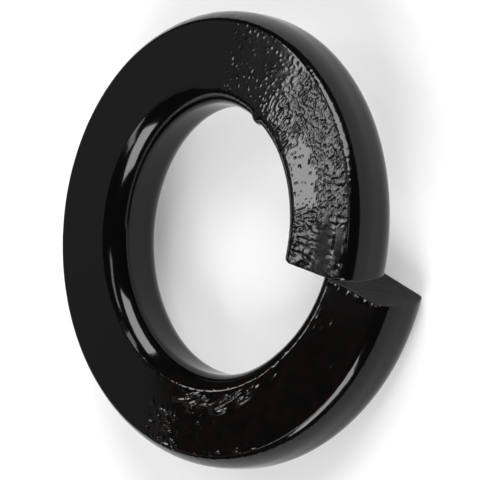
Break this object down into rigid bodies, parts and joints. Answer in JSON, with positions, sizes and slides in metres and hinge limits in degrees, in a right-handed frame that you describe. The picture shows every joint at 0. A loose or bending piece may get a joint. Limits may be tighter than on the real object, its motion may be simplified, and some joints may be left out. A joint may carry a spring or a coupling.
{
  "type": "spring lock washer",
  "caption": "Split ring of rolled spring-steel wire with offset, slant-cut ends and a black finish, put under a screw head or nut to keep it from working loose.",
  "frame": {"origin": "on the bore's axis, at half the free height of the coil", "axes": "+Z along the bore's axis, from the lower face to the upper face; +X from the axis to the middle of the split; the upper end lies just anticlockwise of the split, seen from above"},
  "size_m": [0.0144, 0.0144, 0.004],
  "materials": {
    "black_steel": "glossy black oxide and oil on rolled spring steel"
  },
  "bodies": {
    "root": {"lock_washer": "black_steel"}
  },
  "joints": []
}
